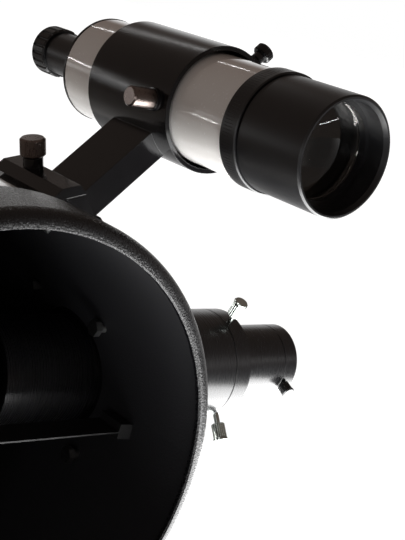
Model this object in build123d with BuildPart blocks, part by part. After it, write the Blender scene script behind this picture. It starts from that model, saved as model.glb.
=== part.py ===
"""Newtonian reflector telescope, 200 mm f/5: tube with finder, focuser, tube rings and dovetail plate.

Frame: millimetres, +Z up. The tube lies along Y with its open mouth towards -Y, the focuser points to +X,
and the origin is the centre of the dovetail plate's underside, the face that a mount's saddle takes.
"""
from build123d import *
import os
from math import acos, cos, pi, radians, sin, sqrt, tan

os.makedirs("parts", exist_ok=True)

# ---- driving dimensions: tube and its end rings ----
tube_radius = 115.0
tube_wall = 1.0
ring_radius = tube_radius + 5.0  # outer radius of both end rings
ring_lip = 3.0                   # how far an end ring covers the tube's edge, along the axis
front_lip_radius = tube_radius - 3.1
rear_lip_radius = tube_radius - 10.0
front_ring_length = 37.4
rear_ring_length = 30.0
focuser_station = 116.3          # stations are distances behind the mouth's front plane
plate_station = 540.0            # where the dovetail plate is centred, near the balance point

# ---- driving dimensions: optics ----
focal_length = 1000.0
mirror_radius = tube_radius - tube_wall - 12.5
mirror_thickness = 30.0
secondary_radius = 29.0          # half of the flat's minor axis
secondary_thickness = 8.0
focus_reach = tube_radius + 140.0  # tube axis to the focal plane

# ---- driving dimensions: rings and plate that carry the tube ----
plate_length = 340.0
plate_width = 100.0
plate_thickness = 14.0
ring_spacing = 200.0
strap_width = 25.0
strap_wall = 8.0
strap_gap = 1.6                  # room for the felt between strap and tube
foot_height = 6.0

# ---- driving dimensions: spider, mirror cell ----
vane_station = 50.0
vane_depth = 18.0
vane_thickness = 0.8
vane_turn = -4.0                 # degrees from the focuser's side
hub_radius = 20.0
cell_thickness = 6.0
cell_gap = 18.0
backplate_thickness = 6.0
collimation_radius = 80.0

# ---- driving dimensions: focuser ----
drawtube_radius = 30.0
drawtube_bore = drawtube_radius - 4.0
drawtube_inner_end = tube_radius - 57.0  # measured from the tube axis, as are all focuser heights
body_radius = drawtube_radius + 8.0
flange_side = 2 * body_radius + 12.0
flange_top = tube_radius + 12.0
body_top = flange_top + 36.0
holder_radius = drawtube_radius + 2.0
holder_base = body_top + 3.0
holder_groove = holder_base + 45.9
holder_top = holder_groove + 11.8
holder_bore = 25.45              # takes a 50.8 mm barrel
adapter_radius = 21.8
adapter_groove = holder_top + 37.8
adapter_top = adapter_groove + 10.7
adapter_bore = 15.9              # takes a 31.75 mm barrel
gear_module = 1.0
pinion_teeth = 12
pinion_height = flange_top + 21.0  # where the pinion stands along the focuser's axis

# ---- driving dimensions: finder ----
finder_turn = 44.8               # degrees from the focuser's side
finder_radius = 29.8
finder_reach = tube_radius + 105.3  # tube axis to finder axis
objective_radius = finder_radius - 4.8
finder_wall = 1.2
finder_front = 49.8              # station of the white tube's front end
finder_rear = 193.0
dew_front = -7.0
dew_rear = 37.6
dew_radius = finder_radius + 0.4
dew_bore = dew_radius - 3.0
lock_ring_radius = finder_radius + 1.7
hoop_wall = 2.5
hoop_radius = finder_radius + 2.0 + hoop_wall  # the bracket's ring
hoop_front = 89.8
hoop_rear = 161.5
leg_front = 103.6
leg_depth = 35.0
leg_width = 15.9
aim_station = 101.0
eyepiece_rear = 255.8

# ---- clearances ----
screw_clearance = 0.1
running_clearance = 0.08
sliding_clearance = 0.3

# ---- derived places ----
mouth_y = -plate_station
strap_bore = tube_radius + strap_gap
strap_radius = strap_bore + strap_wall
axis_z = plate_thickness + foot_height + strap_radius
tube_bore = tube_radius - tube_wall
mirror_station = focuser_station + focal_length - focus_reach
pad_height = 3.5
cell_station = mirror_station + mirror_thickness + pad_height
backplate_station = cell_station + cell_thickness + cell_gap
tube_end = backplate_station + backplate_thickness
tube_axis = Axis((0, mouth_y, axis_z), (0, 1, 0))


# ---- frames ----
def radial(turn):
    """Unit vector that points away from the tube axis, turned from +X towards +Z, in degrees."""
    return Vector(cos(radians(turn)), 0, sin(radians(turn)))


def across(station, turn=0.0, reach=0.0, reach_turn=0.0):
    """Plane across the tube, seen from the front, centred at a reach from the tube axis."""
    centre = Vector(0, mouth_y + station, axis_z) + radial(reach_turn) * reach
    return Plane(origin=centre, x_dir=radial(turn), z_dir=(0, -1, 0))


def outward(station, turn, radius, reach=0.0, reach_turn=0.0):
    """Plane that faces away from an axis parallel to the tube: local x runs to the rear."""
    centre = Vector(0, mouth_y + station, axis_z) + radial(reach_turn) * reach
    return Plane(origin=centre + radial(turn) * radius, x_dir=(0, 1, 0), z_dir=radial(turn))


def rearward(station, x=0.0, z=0.0):
    """Plane that faces the rear, at a place given from the tube axis."""
    return Plane(origin=(x, mouth_y + station, axis_z + z), x_dir=(1, 0, 0), z_dir=(0, 1, 0))


def focuser(height, along=0.0, up=0.0):
    """Plane that faces out along the focuser's axis: local x to the rear, local y up."""
    centre = (height, mouth_y + focuser_station + along, axis_z + up)
    return Plane(origin=centre, x_dir=(0, 1, 0), z_dir=(1, 0, 0))


def around_focuser(height, turn, radius):
    """Plane that faces away from the focuser's axis; the turn is from the top towards the mouth."""
    away = Vector(0, -sin(radians(turn)), cos(radians(turn)))
    centre = Vector(height, mouth_y + focuser_station, axis_z) + away * radius
    return Plane(origin=centre, x_dir=(1, 0, 0), z_dir=away)


def finder(station):
    """Plane that faces the rear, on the finder's axis."""
    centre = Vector(0, mouth_y + station, axis_z) + radial(finder_turn) * finder_reach
    return Plane(origin=centre, x_dir=radial(finder_turn), z_dir=(0, 1, 0))


# ---- shared shapes ----
def lathe(frame, outline):
    """A turned piece about the frame's normal; the outline holds (distance along it, radius) points."""
    half = Plane(origin=frame.origin, x_dir=frame.z_dir, z_dir=frame.y_dir)
    with BuildPart() as piece:
        with BuildSketch(half):
            with BuildLine():
                Polyline(*outline, close=True)
            make_face()
        revolve(axis=Axis(frame.origin, frame.z_dir))
    return piece.part


def tube_outline(start, end, outer, inner, edge=0.0):
    """Outline of a plain ring with its outer edges bevelled."""
    return [(start, inner), (start, outer - edge), (start + edge, outer), (end - edge, outer),
            (end, outer - edge), (end, inner)]


def knurled(frame, outline, grip_start, grip_end, grip_radius, grooves, groove_radius):
    """A turned piece whose grip has straight grooves cut along it."""
    blank = lathe(frame, outline)
    with BuildPart() as piece:
        add(blank)
        with BuildSketch(frame.offset(grip_start)):
            with PolarLocations(grip_radius, grooves):
                Circle(groove_radius)
        extrude(amount=grip_end - grip_start, mode=Mode.SUBTRACT)
    return piece.part


def thumbscrew(frame, depth, neck_radius, neck_length, head_radius, head_length, grooves):
    """A thumbscrew: its shank goes down from the frame, its neck, grooved grip and cap stand above it."""
    top = neck_length + head_length
    bevel = 0.6
    cap_start = top - head_length * 0.22
    grip_radius = head_radius * 0.94
    outline = [(-depth, 0), (-depth, neck_radius), (neck_length, neck_radius),
               (neck_length, grip_radius - bevel), (neck_length + bevel, grip_radius),
               (cap_start, grip_radius), (cap_start + 0.4, head_radius),
               (top - bevel, head_radius), (top, head_radius - bevel), (top, 0)]
    return knurled(frame, outline, neck_length, cap_start, grip_radius, grooves, head_radius * 0.08)


def coil_spring(frame, mean_radius, wire_radius, length, turns):
    """A round-wire compression spring that stands on the frame."""
    with BuildPart() as spring:
        with BuildLine():
            wire = Helix(pitch=length / turns, height=length, radius=mean_radius, center=frame.origin,
                         direction=frame.z_dir)
        with BuildSketch(Plane(origin=wire @ 0, z_dir=wire % 0)):
            Circle(wire_radius)
        sweep(path=wire, is_frenet=True)
    return spring.part


def group(pieces):
    """Several separate solids as one node."""
    with BuildPart() as set_of_pieces:
        for piece in pieces:
            add(piece)
    return set_of_pieces.part


def save(part, name):
    part.label = name
    export_step(part, f"parts/{name}.step")


# ---- main tube ----
vane_turns = [vane_turn + 90 * quarter for quarter in range(4)]
vane_middle = vane_station + vane_depth / 2
vane_screw_radius = 2.0
focuser_screw_radius = 2.5
focuser_screw_along = flange_side / 2 - 12.0
focuser_screw_side = flange_side / 2 - 8.0
shoe_screw_radius = 2.0
shoe_front = 100.0
shoe_length = 60.0
shoe_screw_spacing = 36.0
shoe_middle = shoe_front + shoe_length / 2
rear_screw_radius = 2.0
rear_screw_turns = [30, 150, 270]
rear_screw_station = tube_end - 12.0
focuser_corners = [(along, side) for along in (-focuser_screw_along, focuser_screw_along)
                   for side in (-focuser_screw_side, focuser_screw_side)]

with BuildPart() as main_tube:
    with BuildSketch(across(ring_lip)):
        Circle(tube_radius)
        Circle(tube_bore, mode=Mode.SUBTRACT)
    extrude(amount=-(tube_end - ring_lip))
    # the focuser's opening, with room for the rack below it
    with BuildSketch(focuser(0)):
        Circle(drawtube_radius + 4)
    extrude(amount=tube_radius + 5, mode=Mode.SUBTRACT)
    with BuildSketch(focuser(0)):
        with Locations(*focuser_corners):
            Circle(focuser_screw_radius + screw_clearance)
    extrude(amount=tube_radius + 5, mode=Mode.SUBTRACT)
    for turn in vane_turns:
        with BuildSketch(outward(vane_middle, turn, 0)):
            Circle(vane_screw_radius + screw_clearance)
        extrude(amount=tube_radius + 5, mode=Mode.SUBTRACT)
    for turn in rear_screw_turns:
        with BuildSketch(outward(rear_screw_station, turn, 0)):
            Circle(rear_screw_radius + screw_clearance)
        extrude(amount=tube_radius + 5, mode=Mode.SUBTRACT)
    with BuildSketch(outward(shoe_middle, finder_turn, 0)):
        with GridLocations(shoe_screw_spacing, 1, 2, 1):
            Circle(shoe_screw_radius + screw_clearance)
    extrude(amount=tube_radius + 5, mode=Mode.SUBTRACT)
save(main_tube.part, "main_tube")

# ---- front end ring: a rounded casting that caps the tube's mouth ----
nose_round = 6.0
with BuildPart() as front_end_ring:
    with BuildSketch(Plane(origin=tube_axis.position, x_dir=(0, 1, 0), z_dir=(0, 0, -1))):
        with BuildLine():
            Polyline((0, ring_radius - nose_round), (0, front_lip_radius + 0.8), (0.8, front_lip_radius),
                     (ring_lip, front_lip_radius), (ring_lip, tube_radius),
                     (front_ring_length, tube_radius), (front_ring_length, ring_radius - 1.5),
                     (front_ring_length - 1.5, ring_radius), (nose_round, ring_radius))
            JernArc((nose_round, ring_radius), (-1, 0), nose_round, 90)
        make_face()
    revolve(axis=tube_axis)
save(front_end_ring.part, "front_end_ring")

# ---- rear end ring ----
rear_edge = tube_end + ring_lip
rear_ring_start = rear_edge - rear_ring_length
rear_ring_blank = lathe(rearward(0), [
    (rear_ring_start, tube_radius), (rear_ring_start, ring_radius - 1.5),
    (rear_ring_start + 1.5, ring_radius),
    (rear_edge - 3, ring_radius), (rear_edge, ring_radius - 3), (rear_edge, rear_lip_radius),
    (tube_end, rear_lip_radius), (tube_end, tube_radius)])
with BuildPart() as rear_end_ring:
    add(rear_ring_blank)
    for turn in rear_screw_turns:
        with BuildSketch(outward(rear_screw_station, turn, 0)):
            Circle(rear_screw_radius + screw_clearance)
        extrude(amount=ring_radius + 5, mode=Mode.SUBTRACT)
save(rear_end_ring.part, "rear_end_ring")


def pan_screw(frame, shank_radius, length, head_radius, head_height):
    """A cross-head pan screw: the frame is the face under its head."""
    outline = [(-length, 0), (-length, shank_radius), (0, shank_radius), (0, head_radius),
               (head_height * 0.5, head_radius), (head_height, head_radius * 0.6), (head_height, 0)]
    blank = lathe(frame, outline)
    with BuildPart() as screw:
        add(blank)
        with BuildSketch(frame.offset(head_height)):
            Rectangle(head_radius, head_radius * 0.22)
            Rectangle(head_radius * 0.22, head_radius)
        extrude(amount=-head_height * 0.6, mode=Mode.SUBTRACT)
    return screw.part


rim_inner = tube_bore - 6.0
save(group([pan_screw(outward(rear_screw_station, turn, ring_radius), rear_screw_radius,
                      ring_radius - rim_inner - 1, 4.0, 2.4) for turn in rear_screw_turns]),
     "rear_ring_screws")

# ---- spider: hub, four vanes, the screws that pull the vanes tight ----
hub_front = vane_station - 4.0
hub_rear = vane_station + vane_depth
centre_bolt_radius = 3.0
tilt_screw_radius = 2.0
tilt_screw_circle = 13.0
hub_blank = lathe(rearward(0), [(hub_front, 0), (hub_front, hub_radius - 1), (hub_front + 1, hub_radius),
                                (hub_rear, hub_radius), (hub_rear, 0)])
with BuildPart() as spider_hub:
    add(hub_blank)
    with BuildSketch(across(hub_front, 30)):
        Circle(centre_bolt_radius + screw_clearance)
        with PolarLocations(tilt_screw_circle, 3):
            Circle(tilt_screw_radius + screw_clearance)
    extrude(amount=-(hub_rear - hub_front), mode=Mode.SUBTRACT)
save(spider_hub.part, "spider_hub")

# each vane is a sheet that runs past the axis, so that the four twist the hub against each other
vane_block = 8.0
vane_gap = 0.5
block_place = tube_bore - vane_block / 2 - vane_gap
vane_offset = block_place * sin(radians(vane_turn))
vane_inner = sqrt(hub_radius ** 2 - vane_offset ** 2) + vane_gap
vane_outer = block_place * cos(radians(vane_turn))
vanes = []
for turn in vane_turns:
    with BuildPart() as vane:
        with BuildSketch(across(vane_station, turn - vane_turn)):
            with Locations(((vane_inner + vane_outer) / 2, vane_offset)):
                Rectangle(vane_outer - vane_inner, vane_thickness)
        with BuildSketch(across(vane_station, turn)):
            with Locations((block_place, 0)):
                Rectangle(vane_block, vane_block)
        extrude(amount=-vane_depth)
        with BuildSketch(outward(vane_middle, turn, tube_bore)):
            Circle(vane_screw_radius + screw_clearance)
        extrude(amount=-vane_block, mode=Mode.SUBTRACT)
    vanes.append(vane.part)
save(group(vanes), "spider_vanes")

save(group([pan_screw(outward(vane_middle, turn, tube_radius), vane_screw_radius, vane_block - 1, 4.5, 2.6)
            for turn in vane_turns]), "vane_screws")

# ---- secondary mirror, its holder and its adjusting screws ----
tilt_frame = Plane(origin=(0, mouth_y + focuser_station, axis_z), x_dir=(0, 0, 1), z_dir=(1, 1, 0))
holder_front = hub_rear + 6.0
flat_back = secondary_thickness * sqrt(2)

with BuildPart() as secondary_mirror:
    with BuildSketch(across(focuser_station - 2 * secondary_radius)):
        Circle(secondary_radius)
    extrude(amount=-4 * secondary_radius)
    split(bisect_by=tilt_frame, keep=Keep.BOTTOM)
    split(bisect_by=tilt_frame.offset(-secondary_thickness), keep=Keep.TOP)
save(secondary_mirror.part, "secondary_mirror")

with BuildPart() as secondary_holder:
    with BuildSketch(across(holder_front)):
        Circle(secondary_radius)
    extrude(amount=-(focuser_station + secondary_radius - holder_front))
    with BuildSketch(across(holder_front + 8)):
        Circle(secondary_radius - 5)
    extrude(amount=-(focuser_station + secondary_radius), mode=Mode.SUBTRACT)
    split(bisect_by=tilt_frame.offset(-secondary_thickness), keep=Keep.BOTTOM)
    with BuildSketch(across(holder_front)):
        Circle(centre_bolt_radius + screw_clearance)
    extrude(amount=-8, mode=Mode.SUBTRACT)
save(secondary_holder.part, "secondary_holder")

bolt_frame = rearward(hub_front)
bolt_reach = holder_front + 8 - hub_front
centre_bolt = lathe(bolt_frame, [(-4, 0), (-4, 5), (0, 5), (0, centre_bolt_radius),
                                 (bolt_reach, centre_bolt_radius), (bolt_reach, 0)])
tilt_screws = []
for step in range(3):
    away = radial(30 + 120 * step) * tilt_screw_circle
    tilt_screws.append(lathe(rearward(hub_front, away.X, away.Z), [
        (-3, 0), (-3, 3.4), (0, 3.4), (0, tilt_screw_radius), (holder_front - hub_front, tilt_screw_radius),
        (holder_front - hub_front, 0)]))
save(group([centre_bolt, *tilt_screws]), "secondary_screws")

# ---- primary mirror: a spherical-fronted disc, hollow by its sagitta ----
curve_radius = 2 * focal_length
sagitta = mirror_radius ** 2 / (2 * curve_radius)
with BuildPart() as primary_mirror:
    with BuildSketch(Plane(origin=tube_axis.position, x_dir=(0, 1, 0), z_dir=(0, 0, -1))):
        with BuildLine():
            face = ThreePointArc((mirror_station, 0), (mirror_station - sagitta / 4, mirror_radius / 2),
                                 (mirror_station - sagitta, mirror_radius))
            Polyline(face @ 1, (mirror_station + mirror_thickness, mirror_radius),
                     (mirror_station + mirror_thickness, 0), face @ 0)
        make_face()
    revolve(axis=tube_axis)
save(primary_mirror.part, "primary_mirror")

# ---- mirror cell: a plate with three pads, three clips and three push-pull bolts ----
clip_turns = [60, 180, 300]
bolt_turns = [90, 210, 330]
cell_radius = tube_bore - 3.5
clip_width = 14.0
clip_screw_radius = 1.5
clip_screw_place = cell_radius - 3.0
collimation_bolt_radius = 3.0
cell_end = cell_station + cell_thickness

with BuildPart() as mirror_cell:
    with BuildSketch(across(cell_station)):
        Circle(cell_radius)
        with PolarLocations(56, 3, start_angle=30):
            Circle(20, mode=Mode.SUBTRACT)
        Circle(22, mode=Mode.SUBTRACT)
        with PolarLocations(collimation_radius, 3, start_angle=bolt_turns[0]):
            Circle(collimation_bolt_radius + running_clearance, mode=Mode.SUBTRACT)
        with PolarLocations(clip_screw_place, 3, start_angle=clip_turns[0]):
            Circle(clip_screw_radius + screw_clearance, mode=Mode.SUBTRACT)
    extrude(amount=-cell_thickness)
    with BuildSketch(across(cell_station)):
        with PolarLocations(mirror_radius * 0.62, 3, start_angle=clip_turns[0]):
            Circle(12)
    extrude(amount=pad_height)
save(mirror_cell.part, "mirror_cell")

clip_inner = mirror_radius + 1.0
clip_tip = mirror_station - sagitta - 0.5
clips = []
clip_screws = []
for turn in clip_turns:
    side = Plane(origin=tube_axis.position, x_dir=(0, 1, 0), z_dir=radial(turn - 90))
    with BuildPart() as clip:
        with BuildSketch(side):
            with BuildLine():
                Polyline((cell_station, clip_inner), (clip_tip, clip_inner), (clip_tip, clip_inner - 4.5),
                         (clip_tip - 2.5, clip_inner - 4.5), (clip_tip - 2.5, clip_inner + 3.5),
                         (cell_station - 10, clip_inner + 3.5), (cell_station - 10, cell_radius),
                         (cell_station, cell_radius), close=True)
            make_face()
        extrude(amount=clip_width / 2, both=True)
        place = radial(turn) * clip_screw_place
        with BuildSketch(rearward(cell_station, place.X, place.Z)):
            Circle(clip_screw_radius + screw_clearance)
        extrude(amount=-8, mode=Mode.SUBTRACT)
    clips.append(clip.part)
    clip_screws.append(pan_screw(rearward(cell_end, place.X, place.Z), clip_screw_radius, cell_thickness + 7,
                                 3, 1.8))
save(group(clips), "mirror_clips")
save(group(clip_screws), "clip_screws")

window_place = 68.0
window_radius = 26.0
centre_window_radius = 20.0
with BuildPart() as cell_backplate:
    with BuildSketch(across(backplate_station)):
        Circle(tube_bore)
        with PolarLocations(window_place, 3, start_angle=bolt_turns[0] - 60):
            Circle(window_radius, mode=Mode.SUBTRACT)
        Circle(centre_window_radius, mode=Mode.SUBTRACT)
    extrude(amount=-backplate_thickness)
    with BuildSketch(across(backplate_station)):
        Circle(tube_bore)
        Circle(rim_inner, mode=Mode.SUBTRACT)
    extrude(amount=12)
    with BuildSketch(across(backplate_station)):
        with PolarLocations(collimation_radius, 3, start_angle=bolt_turns[0]):
            Circle(collimation_bolt_radius + running_clearance)
    extrude(amount=-backplate_thickness, mode=Mode.SUBTRACT)
    for turn in rear_screw_turns:
        with BuildSketch(outward(rear_screw_station, turn, tube_bore)):
            Circle(rear_screw_radius + screw_clearance)
        extrude(amount=-6.0, mode=Mode.SUBTRACT)
save(cell_backplate.part, "cell_backplate")

knob_names = ["collimation_knob_top", "collimation_knob_left", "collimation_knob_right"]
knob_gap = 0.3
springs = []
for name, turn in zip(knob_names, bolt_turns):
    place = radial(turn) * collimation_radius
    knob_face = rearward(tube_end + knob_gap, place.X, place.Z)
    shank = tube_end + knob_gap - cell_station - 1
    save(knurled(knob_face, [
        (-shank, 0), (-shank, collimation_bolt_radius), (0, collimation_bolt_radius), (0, 9), (4, 9), (4, 11),
        (5, 12), (15, 12), (16, 11), (16, 0)], 4, 16, 12, 24, 0.9), name)
    springs.append(coil_spring(rearward(cell_end + 1, place.X, place.Z), 6.5, 0.8, cell_gap - 2, 5))
save(group(springs), "collimation_springs")

# ---- focuser housing: saddle flange, barrel and the block that holds the pinion ----
pinion_radius = gear_module * pinion_teeth / 2
rack_pitch_line = drawtube_radius + 2.0
rack_tip = rack_pitch_line + 0.8 * gear_module
pinion_drop = rack_pitch_line + pinion_radius
pinion_shaft_radius = 3.0
pinion_width = 7.0
rack_width = 6.0
block_half_width = 28.0
block_half_height = 12.0
block_bottom = pinion_drop + 9.0
pocket_half = pinion_radius + gear_module + 0.6
lock_screw_radius = 2.0
flange_bottom = tube_radius - 15.0  # inside the tube, so that the saddle's cut reaches every edge
bore_bottom = tube_radius - 25.0

with BuildPart() as focuser_body:
    with BuildSketch(focuser(flange_bottom)):
        RectangleRounded(flange_side, flange_side, 12)
    extrude(amount=flange_top - flange_bottom)
    with BuildSketch(focuser(flange_top)):
        Circle(body_radius)
    extrude(amount=body_top - flange_top)
    with BuildSketch(focuser(pinion_height - block_half_height)):
        with Locations((0, -block_bottom / 2)):
            Rectangle(2 * block_half_width, block_bottom)
    extrude(amount=2 * block_half_height)
    # the saddle sits on the tube
    with BuildSketch(across(0)):
        Circle(tube_radius)
    extrude(amount=-2 * focuser_station, mode=Mode.SUBTRACT)
    # bore for the drawtube and the channel that its rack runs in
    with BuildSketch(focuser(bore_bottom)):
        Circle(drawtube_radius + sliding_clearance)
        with Locations((0, -rack_tip / 2)):
            Rectangle(rack_width + 1.2, rack_tip + 0.8)
    extrude(amount=body_top - bore_bottom, mode=Mode.SUBTRACT)
    # pocket for the pinion, open at the bottom
    with BuildSketch(Plane.XY.offset(axis_z - block_bottom)):
        with Locations((pinion_height, mouth_y + focuser_station)):
            Rectangle(2 * pocket_half, pinion_width + 1.0)
    extrude(amount=block_bottom - drawtube_radius, mode=Mode.SUBTRACT)
    # bearing bore for the pinion's shaft
    shaft_end = (pinion_height, mouth_y + focuser_station - block_half_width, axis_z - pinion_drop)
    with BuildSketch(Plane(origin=shaft_end, x_dir=(1, 0, 0), z_dir=(0, 1, 0))):
        Circle(pinion_shaft_radius + running_clearance)
    extrude(amount=2 * block_half_width, mode=Mode.SUBTRACT)
    # thread for the lock screw at the top
    with BuildSketch(around_focuser(pinion_height, 0, 0)):
        Circle(lock_screw_radius + running_clearance)
    extrude(amount=body_radius + 10, mode=Mode.SUBTRACT)
    with BuildSketch(focuser(flange_bottom)):
        with Locations(*focuser_corners):
            Circle(focuser_screw_radius + screw_clearance)
    extrude(amount=flange_top - flange_bottom, mode=Mode.SUBTRACT)
save(focuser_body.part, "focuser_body")

nut_room = 3.5
focuser_screws = []
for along, side in focuser_corners:
    inner_wall = sqrt(tube_bore ** 2 - side ** 2)
    nut_face = inner_wall - nut_room
    top = pan_screw(focuser(flange_top, along, side), focuser_screw_radius, flange_top - nut_face - 1,
                    4.6, 2.8)
    with BuildPart() as screw_and_nut:
        add(top)
        with BuildSketch(focuser(nut_face, along, side)):
            RegularPolygon(4.6, 6)
        extrude(amount=-nut_room)
    focuser_screws.append(screw_and_nut.part)
save(group(focuser_screws), "focuser_screws")

# ---- drawtube with its rack ----
pitch = pi * gear_module
backlash = 0.2
tooth_half = (pitch / 2 - backlash) / 2
slope = tan(radians(20))
tooth_top = 0.8 * gear_module
tooth_root = 1.1 * gear_module
rack_teeth = range(-15, 4)
with BuildPart() as drawtube:
    with BuildSketch(focuser(drawtube_inner_end)):
        Circle(drawtube_radius)
        Circle(drawtube_bore, mode=Mode.SUBTRACT)
    extrude(amount=holder_base + 12 - drawtube_inner_end)
    rack_middle = focuser(pinion_height).origin
    with BuildSketch(Plane(origin=rack_middle, x_dir=(1, 0, 0), z_dir=(0, -1, 0))):
        root_line = -(rack_pitch_line - tooth_root)
        tip_line = -(rack_pitch_line + tooth_top)
        rack_start = (rack_teeth[0] - 0.5) * pitch
        rack_end = (rack_teeth[-1] + 0.5) * pitch
        with Locations(((rack_start + rack_end) / 2, (root_line - drawtube_radius + 1) / 2)):
            Rectangle(rack_end - rack_start, -root_line - drawtube_radius + 1)
        for number in rack_teeth:
            middle = number * pitch
            with BuildLine():
                Polyline((middle - tooth_half - tooth_root * slope, root_line + 0.01),
                         (middle - tooth_half + tooth_top * slope, tip_line),
                         (middle + tooth_half - tooth_top * slope, tip_line),
                         (middle + tooth_half + tooth_root * slope, root_line + 0.01), close=True)
            make_face()
    extrude(amount=rack_width / 2, both=True)
save(drawtube.part, "drawtube")


# ---- pinion: involute teeth on a shaft that carries both focus knobs ----
def involute(angle):
    return tan(angle) - angle


base_radius = pinion_radius * cos(radians(20))
pitch_half_angle = tooth_half / pinion_radius


def flank_angle(radius):
    """Half the tooth's angular width at a radius; below the base circle the flank is undercut."""
    if radius <= base_radius:
        return pitch_half_angle + involute(radians(20)) - 0.06 * (base_radius - radius)
    return pitch_half_angle + involute(radians(20)) - involute(acos(base_radius / radius))


knob_start = block_half_width + 3.0
shaft_half = knob_start + 15.0
tip_radius = pinion_radius + 0.8 * gear_module
root_radius = pinion_radius - 1.2 * gear_module
shaft_frame = Plane(origin=(pinion_height, mouth_y + focuser_station, axis_z - pinion_drop),
                    x_dir=(1, 0, 0), z_dir=(0, -1, 0))
flank_radii = [root_radius - 0.3, base_radius, pinion_radius, tip_radius]
with BuildPart() as pinion:
    with BuildSketch(shaft_frame):
        Circle(root_radius)
        for tooth in range(pinion_teeth):
            middle = pi / 2 + (tooth + 0.5) * 2 * pi / pinion_teeth
            left = [(radius * cos(middle + flank_angle(radius)), radius * sin(middle + flank_angle(radius)))
                    for radius in flank_radii]
            right = [(radius * cos(middle - flank_angle(radius)), radius * sin(middle - flank_angle(radius)))
                     for radius in reversed(flank_radii)]
            with BuildLine():
                Polyline(*left, *right, close=True)
            make_face()
    extrude(amount=pinion_width / 2, both=True)
    with BuildSketch(shaft_frame):
        Circle(pinion_shaft_radius)
    extrude(amount=shaft_half, both=True)
save(pinion.part, "pinion_shaft")

focus_knob_radius = 17.0
focus_knob_outline = [(knob_start, pinion_shaft_radius), (knob_start, 9), (knob_start + 3, 10),
                      (knob_start + 3, focus_knob_radius - 1.5), (knob_start + 4.5, focus_knob_radius),
                      (knob_start + 19, focus_knob_radius), (knob_start + 21, focus_knob_radius - 2),
                      (knob_start + 21, 0), (shaft_half, 0), (shaft_half, pinion_shaft_radius)]
focus_knobs = [knurled(Plane(origin=shaft_frame.origin, x_dir=(1, 0, 0), z_dir=(0, side, 0)),
                       focus_knob_outline, knob_start + 3, knob_start + 21, focus_knob_radius, 30, 1.1)
               for side in (-1, 1)]
save(group(focus_knobs), "focus_knobs")

bridge_thickness = 3.0
with BuildPart() as pinion_cover:
    with BuildSketch(Plane.XY.offset(axis_z - block_bottom)):
        with Locations((pinion_height, mouth_y + focuser_station)):
            RectangleRounded(2 * block_half_height, 2 * block_half_width - 8, 3)
    extrude(amount=-bridge_thickness)
    chamfer(pinion_cover.faces().sort_by(Axis.Z)[0].edges(), 0.8)
save(pinion_cover.part, "pinion_cover")

save(thumbscrew(around_focuser(pinion_height, 0, body_radius + 3), body_radius + 3 - drawtube_radius - 0.8,
                lock_screw_radius, 2.0, 6.0, 10.0, 18), "focus_lock_screw")

# ---- two-inch eyepiece holder on the drawtube's end ----
ring_screw_height = holder_groove + 3.0
holder_screw_turns = {"holder_screw_upper": 22, "holder_screw_lower": 143}
holder_screw_radius = 1.7
holder_neck = 6.0
holder_head_radius = 4.3
holder_head = 10.8
band_wall = 0.8
band_start = holder_groove - 1.5
band_end = holder_top - 3.0
seat = holder_base + 12
holder_blank = lathe(focuser(0), [
    (holder_base, drawtube_radius), (holder_base, holder_radius - 0.6), (holder_base + 0.6, holder_radius),
    (holder_groove - 0.5, holder_radius), (holder_groove, holder_radius - 0.8),
    (holder_groove + 0.5, holder_radius),
    (holder_top - 0.8, holder_radius), (holder_top, holder_radius - 0.8), (holder_top, holder_bore),
    (band_end, holder_bore), (band_end, holder_bore + band_wall), (band_start, holder_bore + band_wall),
    (band_start, holder_bore), (seat, holder_bore), (seat, drawtube_radius)])
with BuildPart() as eyepiece_holder:
    add(holder_blank)
    for turn in holder_screw_turns.values():
        with BuildSketch(around_focuser(ring_screw_height, turn, holder_bore - 1)):
            Circle(holder_screw_radius + running_clearance)
        extrude(amount=holder_radius - holder_bore + 2, mode=Mode.SUBTRACT)
save(eyepiece_holder.part, "eyepiece_holder")


def clamp_band(start, end, bore, gap_turn):
    """A split brass band that lies in a bore and is pushed on the barrel by the thumbscrews."""
    with BuildPart() as band:
        with BuildSketch(focuser(start)):
            Circle(bore + band_wall)
            Circle(bore + 0.05, mode=Mode.SUBTRACT)
        extrude(amount=end - start)
        with BuildSketch(around_focuser((start + end) / 2, gap_turn, bore - 2)):
            Rectangle(end - start + 1, 3)
        extrude(amount=5, mode=Mode.SUBTRACT)
    return band.part


save(clamp_band(band_start, band_end, holder_bore, 260), "holder_clamp_band")
for name, turn in holder_screw_turns.items():
    screw_depth = holder_radius - holder_bore - band_wall - 0.1
    save(thumbscrew(around_focuser(ring_screw_height, turn, holder_radius), screw_depth, holder_screw_radius,
                    holder_neck, holder_head_radius, holder_head, 20), name)

# ---- adapter from two inches to one and a quarter ----
adapter_screw_turn = 113
adapter_screw_height = adapter_groove + 2.4
adapter_neck = 0.6
adapter_head_radius = 4.0
adapter_head = 7.6
adapter_skirt = 22.0
adapter_band_start = adapter_groove - 1.2
adapter_band_end = adapter_top - 2.5
adapter_blank = lathe(focuser(0), [
    (holder_top - adapter_skirt, adapter_bore + 1.5), (holder_top - adapter_skirt, holder_bore - 0.1),
    (holder_top, holder_bore - 0.1), (holder_top, holder_bore + 2), (holder_top + 2.5, holder_bore + 2),
    (holder_top + 2.5, adapter_radius), (adapter_groove - 0.4, adapter_radius),
    (adapter_groove, adapter_radius - 0.7), (adapter_groove + 0.4, adapter_radius),
    (adapter_top - 0.8, adapter_radius), (adapter_top, adapter_radius - 0.8), (adapter_top, adapter_bore),
    (adapter_band_end, adapter_bore), (adapter_band_end, adapter_bore + band_wall),
    (adapter_band_start, adapter_bore + band_wall), (adapter_band_start, adapter_bore),
    (adapter_top - 30, adapter_bore), (adapter_top - 30, adapter_bore + 1.5)])
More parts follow.
